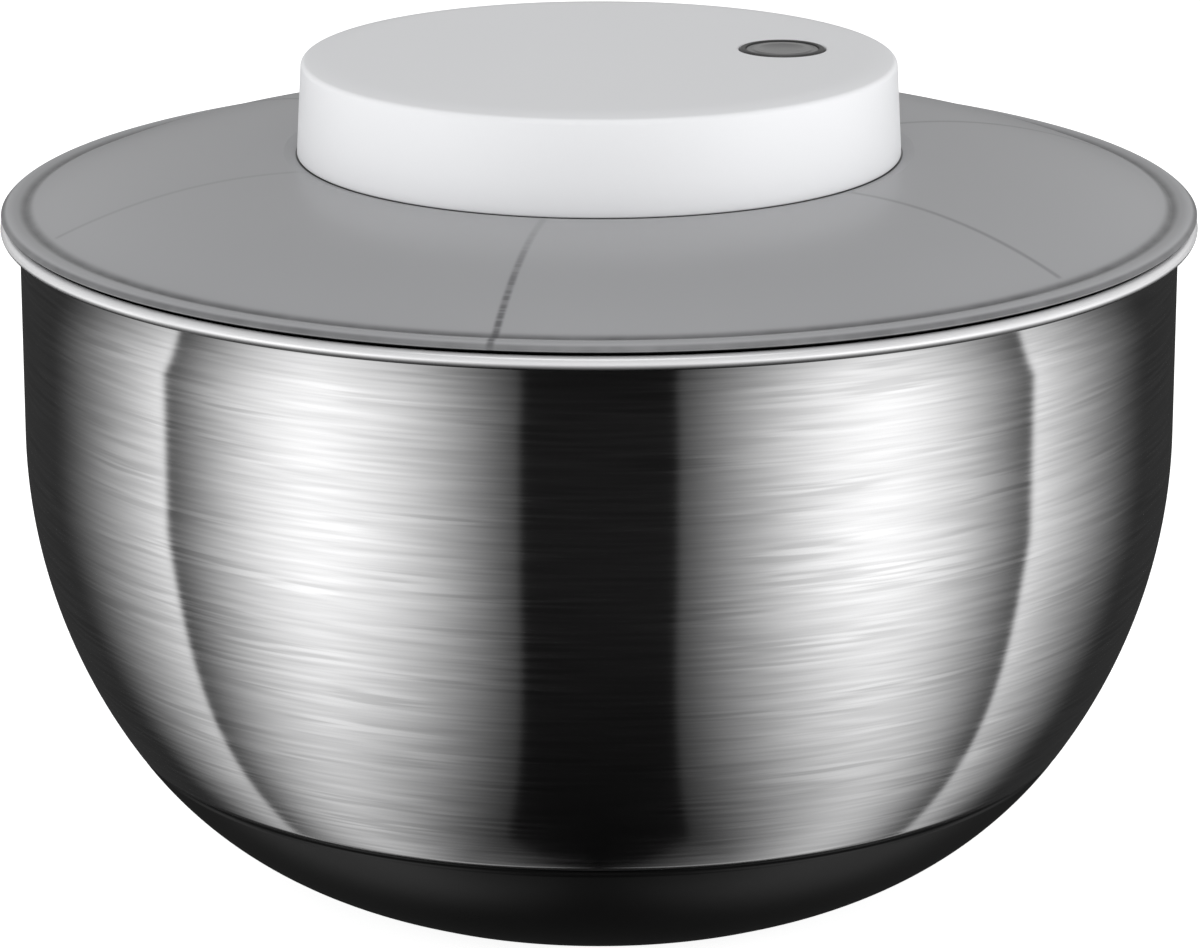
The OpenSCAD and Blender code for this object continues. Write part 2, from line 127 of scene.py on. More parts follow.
class Graph:
    """The node tree of one material or world, filled through one method."""

    def __init__(self, tree: Any) -> None:
        """Empties the tree.

        Args:
            tree: the node tree of a material or of the world.
        """
        self.tree = tree
        tree.nodes.clear()

    def add(
        self,
        kind: str,
        settings: dict[str, Any] | None = None,
        sockets: dict[Any, Any] | None = None,
    ) -> Any:
        """Adds a node, sets it up, then fills its input sockets.

        Args:
            kind: the node's type.
            settings: its properties.
            sockets: a number, colour, Value or output socket for each input's name or place.

        Returns:
            The node.
        """
        node = self.tree.nodes.new(kind)
        for key, setting in (settings or {}).items():
            setattr(node, key, setting)
        for key, given in (sockets or {}).items():
            plain = given.socket if isinstance(given, Value) else given
            if isinstance(plain, bpy.types.NodeSocket):
                self.tree.links.new(plain, node.inputs[key])
            else:
                node.inputs[key].default_value = plain
        return node

    def out(
        self,
        kind: str,
        settings: dict[str, Any] | None = None,
        sockets: dict[Any, Any] | None = None,
        output: Any = 0,
    ) -> Value:
        """Adds a node and wraps one of its outputs.

        Args:
            kind: the node's type.
            settings: as for add.
            sockets: as for add.
            output: the output's name or place.

        Returns:
            The output as a Value.
        """
        return Value(self, self.add(kind, settings, sockets).outputs[output])

    def mix(self, factor: Any, low: Any, high: Any) -> Value:
        """A colour that goes from low to high as factor goes from 0 to 1."""
        sockets = {0: factor, 6: self.colour(low), 7: self.colour(high)}
        return self.out("ShaderNodeMix", {"data_type": "RGBA"}, sockets, 2)

    @staticmethod
    def colour(given: Any) -> Any:
        """A colour with its alpha, or the value that was given."""
        return (*given, 1.0) if isinstance(given, tuple) else given

    def place(self) -> tuple[Value, Value, Value]:
        """The x, y and z of the shaded point in the object's own space."""
        coordinates = self.add("ShaderNodeTexCoord").outputs["Object"]
        parts = self.add("ShaderNodeSeparateXYZ", sockets={0: coordinates})
        return tuple(Value(self, socket) for socket in parts.outputs)

    def run(self) -> Value:
        """The length along a turned piece's outline, which revolve() keeps in its second UV axis."""
        coordinates = self.add("ShaderNodeUVMap", {"uv_map": UV_NAME}).outputs[0]
        return self.out("ShaderNodeSeparateXYZ", sockets={0: coordinates}, output="Y")

    def vector(self, x: Any, y: Any, z: Any) -> Value:
        """A vector from three numbers or values."""
        return self.out("ShaderNodeCombineXYZ", sockets={0: x, 1: y, 2: z})

    def noise(self, at: Any, scale: float, detail: float = 2.0, roughness: float = 0.5) -> Value:
        """A cloud pattern from 0 to 1.

        Args:
            at: the vector that the pattern is read at.
            scale: patches per unit of that vector.
            detail: octaves of finer patches.
            roughness: how strong the finer ones are.

        Returns:
            The pattern.
        """
        sockets = {"Vector": at, "Scale": scale, "Detail": detail, "Roughness": roughness}
        return self.out("ShaderNodeTexNoise", sockets=sockets)

    def bump(self, height: Value, depth: float, under: Any = None) -> Value:
        """A normal bent by height, which stands depth metres tall at 1."""
        sockets = {"Height": height, "Distance": depth, "Strength": 1.0}
        if under is not None:
            sockets["Normal"] = under
        return self.out("ShaderNodeBump", sockets=sockets)

    def surface(self, sockets: dict[str, Any]) -> None:
        """Ends the graph in one Principled shader with these sockets."""
        filled = {key: self.colour(given) for key, given in sockets.items()}
        shader = self.add("ShaderNodeBsdfPrincipled", sockets=filled)
        self.add("ShaderNodeOutputMaterial", sockets={"Surface": shader.outputs[0]})


def linear(display: float) -> float:
    """The light level of a display value from 0 to 255."""
    share = display / 255
    return share / 12.92 if share <= 0.04045 else ((share + 0.055) / 1.055) ** 2.4


def grey(display: float) -> Colour:
    """A neutral colour of that display value."""
    return (linear(display),) * 3


# ---------------------------------------------------------------- finishes


class Finish:
    """A material: subclasses hold its values and fill its graph."""

    def material(self, name: str) -> bpy.types.Material:
        """The material of this finish, made once for each name."""
        title = f"{name}_look"
        made = bpy.data.materials.get(title)
        if made is None:
            made = bpy.data.materials.new(title)
            made.use_nodes = True
            self.fill(Graph(made.node_tree))
        return made

    def fill(self, graph: Graph) -> None:
        """Builds the shader."""
        raise NotImplementedError


def round_the_axis(graph: Graph) -> tuple[Value, Value, Value]:
    """The cosine and sine of the direction from the axis, and the distance from it."""
    x, y, _ = graph.place()
    distance = (x * x + y * y) ** 0.5
    safe = distance.most(0.1 * MM)
    return x / safe, y / safe, distance


@dataclass(frozen=True)
class BrushedSteel(Finish):
    """Sheet steel brushed round the axis: close fine lines, some of them stronger."""

    colour: Colour = (0.74, 0.74, 0.745)
    roughness: float = 0.11
    line_pitch: float = 0.85 * MM
    line_depth: float = 0.002 * MM
    contrast: float = 0.15
    anisotropy: float = 0.8

    def fill(self, graph: Graph) -> None:
        """Lines follow the outline's length, and fade and return along each turn."""
        turn_x, turn_y, _ = round_the_axis(graph)
        run = graph.run()

        def lines(pitch: float, spread: float) -> Value:
            """Streaks of that pitch from -0.5 to 0.5; spread is how soon they end along the turn."""
            at = graph.vector(turn_x * spread, turn_y * spread, run * (1 / pitch))
            return graph.noise(at, 1.0, 0.0) - 0.5

        fine = lines(self.line_pitch, 6.0)
        hair = lines(0.4 * self.line_pitch, 9.0)
        strong = lines(4.5 * self.line_pitch, 4.0).smooth(0.0, 0.22)
        streak = (fine + hair * 0.35) * (strong * 1.3 + 0.75)
        shine = (streak * 1.6 + 0.5).most(0.0).least(1.0)
        dark = tuple(channel * (1 - self.contrast) for channel in self.colour)
        light = tuple(min(1.0, channel * (1 + self.contrast)) for channel in self.colour)
        graph.surface({
            "Base Color": graph.mix(shine, dark, light),
            "Metallic": 1.0,
            "Roughness": shine * 0.03 + (self.roughness - 0.015),
            "Anisotropic": self.anisotropy,
            "Anisotropic Rotation": 0.25,
            "Normal": graph.bump(streak, self.line_depth),
        })


@dataclass(frozen=True)
class PolishedSteel(Finish):
    """Bright steel with faint turning marks and handling haze."""

    colour: Colour = (0.8, 0.8, 0.8)
    roughness: float = 0.1
    haze: float = 0.08

    def fill(self, graph: Graph) -> None:
        """Haze in soft patches changes the roughness and the tone a little."""
        x, y, z = graph.place()
        at = graph.vector(x, y, z)
        patches = graph.noise(at, 60.0, 4.0, 0.55)
        marks = graph.noise(graph.vector(x * 40, y * 40, z * 4000), 1.0, 1.0)
        tone = graph.mix(patches * 0.5 + marks * 0.3, tuple(0.88 * c for c in self.colour), self.colour)
        graph.surface({
            "Base Color": tone,
            "Metallic": 1.0,
            "Roughness": patches * self.haze + self.roughness,
            "Normal": graph.bump(marks, 0.0006 * MM),
        })


@dataclass(frozen=True)
class RimSteel(Finish):
    """The rim bead's satin steel, with painted shade that darkens it towards the underside of the bead."""

    bead_z: float
    colour: Colour = (0.85, 0.85, 0.86)
    roughness: float = 0.22
    metallic: float = 0.35

    def fill(self, graph: Graph) -> None:
        """The height below the bead's middle sets how strong the painted shade is at a point."""
        x, y, z = graph.place()
        below = (z * -1 + self.bead_z) * (1 / (1.5 * MM))
        # Painted shade: the colour falls towards black below the bead's middle, where shadow lies under the
        # bead.
        crease_shade = (1 - below.most(0.0).least(1.0)) ** 3
        patches = graph.noise(graph.vector(x, y, z), 60.0, 4.0, 0.55)
        marks = graph.noise(graph.vector(x * 40, y * 40, z * 3000), 1.0, 1.0)
        steel = graph.mix(patches * 0.5 + marks * 0.5, tuple(0.9 * c for c in self.colour), self.colour)
        steel_with_painted_shade = graph.out("ShaderNodeMix", {"data_type": "RGBA", "blend_type": "MULTIPLY"},
            {0: 1.0, 6: steel, 7: crease_shade}, 2)
        graph.surface({
            "Base Color": steel_with_painted_shade,
            "Metallic": self.metallic,
            "Roughness": patches * 0.06 + self.roughness,
            "Normal": graph.bump(marks, 0.0006 * MM),
        })


@dataclass(frozen=True)
class Moulded(Finish):
    """Moulded plastic: a tone that varies faintly, with a spark-eroded grain."""

    colour: Colour
    roughness: float = 0.4
    grain_pitch: float = 0.35 * MM
    grain_depth: float = 0.004 * MM
    variation: float = 0.04
    specular: float = 0.5
    subsurface: float = 0.0

    def fill(self, graph: Graph) -> None:
        """Broad clouds move the tone and the gloss, and grain bends the normal."""
        x, y, z = graph.place()
        at = graph.vector(x, y, z)
        clouds = graph.noise(at, 22.0, 3.0)
        grain = graph.noise(at, 1 / self.grain_pitch, 3.0, 0.6)
        low = tuple(channel * (1 - self.variation) for channel in self.colour)
        high = tuple(min(1.0, channel * (1 + self.variation)) for channel in self.colour)
        graph.surface({
            "Base Color": graph.mix(clouds * 0.7 + grain * 0.3, low, high),
            "Roughness": clouds * 0.08 + grain * 0.06 + (self.roughness - 0.07),
            "Specular IOR Level": self.specular,
            "Subsurface Weight": self.subsurface,
            "Subsurface Scale": 1.5 * MM,
            "Normal": graph.bump(grain, self.grain_depth),
        })


@dataclass(frozen=True)
class SmokeFrost(Finish):
    """Smoke-grey frosted plastic, darker over the seal from the seal seen through it and from painted shade,
    whose ribs show through as soft lines.
    """

    ribs: int
    rib_turn: float
    rib_start: float
    rib_end: float
    valley_r: float
    edge_r: float
    colour: Colour = (0.34, 0.342, 0.352)
    rib_colour: Colour = (0.06, 0.06, 0.064)
    roughness: float = 0.36
    rib_half_width: float = 0.7 * MM
    rib_blur: float = 0.5 * MM

    def rib_mask(self, graph: Graph) -> Value:
        """How strongly the nearest rib shows; the front one is strongest, with painted shade that also
        lengthens it, and breaks up near its end.
        """
        turn_x, turn_y, distance = round_the_axis(graph)
        heading = graph.out("ShaderNodeMath", {"operation": "ARCTAN2"}, {0: turn_y, 1: turn_x})
        wave = ((heading - math.radians(self.rib_turn)) * (self.ribs / 2)).sin()
        gap = abs(wave) * distance * (2 / self.ribs)
        line = gap.smooth(self.rib_half_width + self.rib_blur, self.rib_half_width - self.rib_blur)
        # Painted shade: the rib at the front is drawn darker and reaches nearer the edge, fixed on the lid's
        # front.
        front = turn_y.smooth(-0.9, -0.97)
        end = front * (self.edge_r - self.rib_end) + self.rib_end
        inside = distance.smooth(self.rib_start - 2 * MM, self.rib_start + 4 * MM)
        outside = (end - distance).smooth(-0.6 * MM, 0.6 * MM)
        dashes = graph.noise(graph.vector(distance * 700, turn_x * 3, turn_y * 3), 1.0, 1.0).smooth(0.4, 0.55)
        patchy = graph.noise(graph.vector(turn_x, turn_y, 0.0), 1.3, 1.0).smooth(0.35, 0.6) * 0.2 + 0.22
        near_rim = distance.smooth(self.rib_start, self.rib_end)
        strength = patchy + front * near_rim * (dashes * 0.3 + 0.25)
        return line * inside * outside * strength.least(0.85)

    def fill(self, graph: Graph) -> None:
        """Frost and clouds in the tone, a soft ring of painted shade in the valley and a painted darker edge.
        """
        x, y, z = graph.place()
        at = graph.vector(x, y, z)
        _, _, distance = round_the_axis(graph)
        clouds = graph.noise(at, 14.0, 3.0)
        frost = graph.noise(at, 3500.0, 3.0, 0.65)
        mottle = graph.noise(at, 160.0, 2.0, 0.6)
        low = tuple(0.95 * channel for channel in self.colour)
        high = tuple(1.05 * channel for channel in self.colour)
        tone = graph.mix(clouds * 0.6 + frost * 0.4, low, high)
        # Painted shade: a soft dark ring in the valley by the flange and a darker outer edge, partly the dark
        # seal seen through the lid.
        reach = abs(distance - self.valley_r)
        valley = reach.smooth(2.0 * MM, 0.2 * MM) * (mottle * 0.4 + 0.4)
        edge = distance.smooth(self.edge_r - 1.3 * MM, self.edge_r - 0.5 * MM) * (mottle * 0.3 + 0.45)
        shaded = graph.mix(valley.most(edge), tone, tuple(0.12 * channel for channel in self.colour))
        graph.surface({
            "Base Color": graph.mix(self.rib_mask(graph), shaded, self.rib_colour),
            "Roughness": clouds * 0.08 + frost * 0.06 + (self.roughness - 0.07),
            "Normal": graph.bump(frost, 0.003 * MM),
        })


class Slot(Enum):
    """The record's material slots and the finish of each."""

    BOWL = ("brushed_bowl_steel", BrushedSteel())
    SILICONE = ("black_silicone", Moulded(grey(4), 0.3, 0.5 * MM, 0.003 * MM, 0.25, 0.35))
    STEEL = ("bright_steel", PolishedSteel((0.66, 0.66, 0.67), 0.2, 0.12))
    ACETAL = ("natural_acetal", Moulded((0.82, 0.8, 0.73), 0.34, 0.4 * MM, 0.003 * MM, 0.03))
    BLACK_ACETAL = ("black_acetal", Moulded(grey(70), 0.4))
    BASKET = ("white_basket_plastic", Moulded((0.78, 0.8, 0.8), 0.3, 0.5 * MM, 0.003 * MM, 0.03))
    SMOKE = ("smoke_frosted_plastic", SmokeFrost(6, 20.5, 67 * MM, 122 * MM, 124.3 * MM, 129.7 * MM))
    GREY = ("grey_plastic", Moulded((0.5, 0.52, 0.54), 0.33, 0.5 * MM, 0.003 * MM, 0.04))
    BRONZE = ("bush_bronze", PolishedSteel((0.6, 0.42, 0.2), 0.3, 0.15))
    DRUM = ("white_drum_plastic", Moulded((0.765, 0.77, 0.785), 0.4, 0.3 * MM, 0.003 * MM, 0.012))
    DARK = ("dark_grey_plastic", Moulded(grey(62), 0.42, 0.3 * MM, 0.004 * MM, 0.06))
    INSERT = ("dark_insert_plastic", Moulded(grey(118), 0.3, 0.3 * MM, 0.003 * MM, 0.05))

    def material(self) -> bpy.types.Material:
        """The Blender material of this slot."""
        name, finish = self.value
        return finish.material(name)


# ---------------------------------------------------------------- mesh work

UV_NAME = "turned"


def arc(centre: Point, radius: float, start: float, end: float, steps: int) -> list[Point]:
    """Points along an arc.

    Args:
        centre: the arc's centre.
        radius: its radius.
        start: the first point's angle in degrees.
        end: the last point's angle in degrees.
        steps: stretches between the points.

    Returns:
        steps + 1 points.
    """
    angles = [math.radians(start + (end - start) * i / steps) for i in range(steps + 1)]
    return [(centre[0] + radius * math.cos(a), centre[1] + radius * math.sin(a)) for a in angles]


def rounded(
    corners: Sequence[tuple[float, float, float]],
    steps: int = 6,
    closed: bool = True,
) -> list[Point]:
    """An outline whose corners are rounded.

    Args:
        corners: (r, z, radius) of each corner; radius 0 keeps it sharp.
        steps: stretches in each rounded corner.
        closed: whether the last corner joins the first.

    Returns:
        The outline's points.
    """
    points: list[Point] = []
    count = len(corners)
    for i, (r, z, radius) in enumerate(corners):
        here = Vector((r, z))
        if radius == 0 or (not closed and i in (0, count - 1)):
            points.append((r, z))
            continue
        back = Vector(corners[i - 1][:2]) - here
        on = Vector(corners[(i + 1) % count][:2]) - here
        half = back.angle(on) / 2
        reach = min(radius / math.tan(half), 0.49 * back.length, 0.49 * on.length)
        radius = reach * math.tan(half)
        middle = here + (back.normalized() + on.normalized()).normalized() * (radius / math.sin(half))
        first, last = here + back.normalized() * reach - middle, here + on.normalized() * reach - middle
        swing = first.angle_signed(last)
        begin = math.atan2(first.y, first.x)
        for k in range(steps + 1):
            angle = begin - swing * k / steps
            points.append((middle.x + radius * math.cos(angle), middle.y + radius * math.sin(angle)))
    return points


@dataclass
class Strip:
    """A stretch of an outline and the finish that its faces take."""

    points: list[Point]
    finish: int = 0


def revolve(
    name: str,
    strips: Sequence[Strip],
    materials: Sequence[bpy.types.Material],
    segments: int = 256,
    closed: bool = True,
    sharp: float = 40.0,
) -> bpy.types.Object:
    """Turns an outline round the axis.

    Args:
        name: the piece's name.
        strips: the outline, as (r, z) points in order.
        materials: the finishes that the strips name by place.
        segments: faces round the axis.
        closed: whether the outline's last point joins its first.
        sharp: edges that bend by more than this many degrees stay crisp.

    Returns:
        The piece.
    """
    outline = [point for strip in strips for point in strip.points]
    finish = [strip.finish for strip in strips for _ in strip.points]
    keep = [i for i, p in enumerate(outline) if i == 0 or math.dist(p, outline[i - 1]) > 1e-7]
    outline, finish = [outline[i] for i in keep], [finish[i] for i in keep]
    runs = [0.0]
    for before, after in zip(outline, outline[1:]):
        runs.append(runs[-1] + math.dist(before, after))
    mesh = bmesh.new()
    uv = mesh.loops.layers.uv.new(UV_NAME)
    rings: list[list[Any]] = []
    for r, z in outline:
        if r < 1e-6:
            rings.append([mesh.verts.new((0.0, 0.0, z))] * segments)
            continue
        turns = [2 * math.pi * i / segments for i in range(segments)]
        rings.append([mesh.verts.new((r * math.cos(a), r * math.sin(a), z)) for a in turns])
    pairs = len(outline) if closed else len(outline) - 1
    for row in range(pairs):
        after = (row + 1) % len(outline)
        far_run = runs[row] + math.dist(outline[row], outline[after])
        for i in range(segments):
            j = (i + 1) % segments
            corners = [
                (rings[row][i], i, runs[row]),
                (rings[row][j], i + 1, runs[row]),
                (rings[after][j], i + 1, far_run),
                (rings[after][i], i, far_run),
            ]
            unique = []
            for corner in corners:
                if all(corner[0] is not other[0] for other in unique):
                    unique.append(corner)
            if len(unique) < 3:
                continue
            face = mesh.faces.new([corner[0] for corner in unique])
            face.material_index = finish[row]
            for loop, (_, turn, run) in zip(face.loops, unique):
                loop[uv].uv = (turn / segments, run)
    bmesh.ops.recalc_face_normals(mesh, faces=mesh.faces)
    return finished(name, mesh, materials, sharp)


def finished(
    name: str, mesh: bmesh.types.BMesh, materials: Sequence[bpy.types.Material], sharp: float = 40.0
) -> bpy.types.Object:
    """Makes a smooth-shaded object of a bmesh.

    Args:
        name: the piece's name.
        mesh: its faces, which are freed.
        materials: its material slots.
        sharp: edges that bend by more than this many degrees stay crisp.

    Returns:
        The piece.
    """
    data = bpy.data.meshes.new(name)
    mesh.to_mesh(data)
    mesh.free()
    for material in materials:
        data.materials.append(material)
    data.polygons.foreach_set("use_smooth", [True] * len(data.polygons))
    data.set_sharp_from_angle(angle=math.radians(sharp))
    piece = bpy.data.objects.new(name, data)
    bpy.context.scene.collection.objects.link(piece)
    return piece


def move(piece: bpy.types.Object, shift: Vector) -> None:
    """Shifts a piece's mesh, and leaves its object at the origin."""
    for vertex in piece.data.vertices:
        vertex.co += shift


def settle(piece: bpy.types.Object, body: str, slot: Slot, *nodes: str) -> bpy.types.Object:
    """Fixes a finished piece to its body.

    Args:
        piece: the piece, in place.
        body: the CAD body that it rides on.
        slot: the record's slot that it takes its finish from, which is not used.
        nodes: the CAD nodes that it stands for.

    Returns:
        The piece.
    """
    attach(piece, body)
    if nodes:
        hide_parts(*nodes)
    LOG.info("%s rides on %s", piece.name, body)
    return piece


def dress(slots: dict[str, Slot]) -> None:
    """Gives carried-over CAD nodes their finishes."""
    for node, slot in slots.items():
        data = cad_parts[node].data
        data.materials.clear()
        data.materials.append(slot.material())
        LOG.info("%s keeps its CAD mesh in %s", node, slot.value[0])


# ---------------------------------------------------------------- sub-assemblies


@dataclass
class WallCurve:
    """The outline that bowl, boot and basket share: a straight top over two arcs."""

    wall_r: float
    straight_z: float = 99.6 * MM
    upper_arc_r: float = 120.85 * MM
    lower_arc_r: float = 83.27 * MM
    join: float = 35.1

    def point(self, inset: float, angle: float) -> Point:
        """The outline's point at an angle below the horizontal, moved inwards by inset."""
        turn = math.radians(min(angle, self.join))
        upper = (self.wall_r - self.upper_arc_r, self.straight_z)
        difference = self.upper_arc_r - self.lower_arc_r
        lower = (upper[0] + difference * math.cos(turn), upper[1] - difference * math.sin(turn))
        centre, radius = (upper, self.upper_arc_r) if angle <= self.join else (lower, self.lower_arc_r)
        swing = math.radians(angle)
        reach = radius - inset
        return centre[0] + reach * math.cos(swing), centre[1] - reach * math.sin(swing)

    def angle_at(self, inset: float, z: float) -> float:
        """The angle at which the outline, moved inwards by inset, is at height z."""
        low, high = 0.0, 90.0
        for _ in range(40):
            middle = (low + high) / 2
            low, high = (middle, high) if self.point(inset, middle)[1] > z else (low, middle)
        return low

    def between(self, inset: float, low: float, high: float, steps: int = 40) -> list[Point]:
        """The outline from a low height to a high one.

        Args:
            inset: how far inwards it is moved.
            low: the first point's height.
            high: the last point's height.
            steps: stretches along the arcs.

        Returns:
            Its points.
        """
        first, last = self.angle_at(inset, low), self.angle_at(inset, high)
        points = [self.point(inset, first + (last - first) * i / steps) for i in range(steps + 1)]
        if high > self.straight_z:
            points[-1] = (self.wall_r - inset, self.straight_z)
            step = (high - self.straight_z) / 4
            points += [(self.wall_r - inset, self.straight_z + step * i) for i in range(1, 5)]
        return points


@dataclass
class Bowl:
    """The steel bowl with its rolled rim, and the silicone boot that it stands in."""

    sheet: float = 1.0 * MM
    boot: float = 1.6 * MM
    bead_r: float = 1.5 * MM
    bead_overhang: float = 4.1 * MM
    foot_r: float = 52 * MM
    boot_hole_r: float = 12 * MM
    pin_r: float = 3 * MM
    floor_z: float = 2 * MM
    relief: float = 0.8 * MM
    rim: Vector = field(default_factory=lambda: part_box("bowl_shell")[1])
    boot_top: Vector = field(default_factory=lambda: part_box("base_boot")[1])

    def curve(self) -> WallCurve:
        """The outline of the bowl's outer face."""
        return WallCurve(self.rim.x - self.bead_overhang)

    def build_shell(self) -> None:
        """The steel sheet: brushed outside and inside, with a satin steel bead on its rim."""
        curve = self.curve()
        bead = (self.rim.x - self.bead_r, self.rim.z - self.bead_r)
        boot_z = self.boot_top.z - 0.3 * MM
        neck_z = bead[1] - 1.5 * MM
        outer = [(self.pin_r, self.floor_z)]
        outer += curve.between(self.boot, self.floor_z, boot_z, 16)
        outer += curve.between(0, boot_z + 1.0 * MM, neck_z, 64)
        bead_ring = arc(bead, self.bead_r, 200, 520, 28)
        neck_in = [(curve.wall_r + 0.6 * MM, bead[1] + 0.35 * MM),
            (curve.wall_r - 0.6 * MM, bead[1] - 0.3 * MM),
            (curve.wall_r - self.sheet, bead[1] - 1.2 * MM)]
        inner = curve.between(self.sheet, boot_z + 1.5 * MM, neck_z - 1.0 * MM, 48)[::-1]
        inner += curve.between(self.boot + self.sheet, self.floor_z + self.sheet, boot_z + 0.5 * MM, 16)[::-1]
        inner += [(self.pin_r, self.floor_z + self.sheet)]
        finishes = [Slot.BOWL.material(), RimSteel(bead[1]).material("rim_steel")]
        strips = [Strip(outer), Strip([(curve.wall_r + 0.35 * MM, neck_z + 0.6 * MM)] + bead_ring, 1),
            Strip(neck_in, 1), Strip(inner)]
        shell = revolve("bowl_steel", strips, finishes, 360)
        settle(shell, "bowl", Slot.BOWL, "bowl_shell")

    def build_boot(self) -> None:
        """The silicone boot: a dish round the foot with a rounded upper edge and a ring to stand on."""
        curve = self.curve()
        half = self.boot / 2
        top_z = self.boot_top.z - half
        angle = curve.angle_at(half, top_z)
        middle = curve.point(half, angle)
        edge = arc(middle, half, 180 - angle, -angle, 10)
        outer = curve.between(0, 0.9 * MM, edge[-1][1] - 0.2 * MM, 30)[::-1]
        inner = curve.between(self.boot, self.floor_z, edge[0][1] - 0.2 * MM, 30)
        under = rounded([(outer[-1][0], outer[-1][1], 0), (outer[-1][0] - 2.0 * MM, 0, 0.8 * MM),
            (self.foot_r, 0, 0.3 * MM), (self.foot_r - 0.8 * MM, self.relief, 0.3 * MM),
            (self.boot_hole_r, self.relief, 0)], 4, closed=False)
        strips = [Strip([(self.boot_hole_r, self.floor_z)] + inner + edge + outer + under[1:])]
        boot = revolve("silicone_boot", strips, [Slot.SILICONE.material()], 256)
        settle(boot, "bowl", Slot.SILICONE, "base_boot")

    def build(self) -> None:
        """Makes the bowl's pieces and dresses its pin."""
        self.build_shell()
        self.build_boot()
        dress({"pivot_pin": Slot.STEEL, "pivot_thimble": Slot.ACETAL})


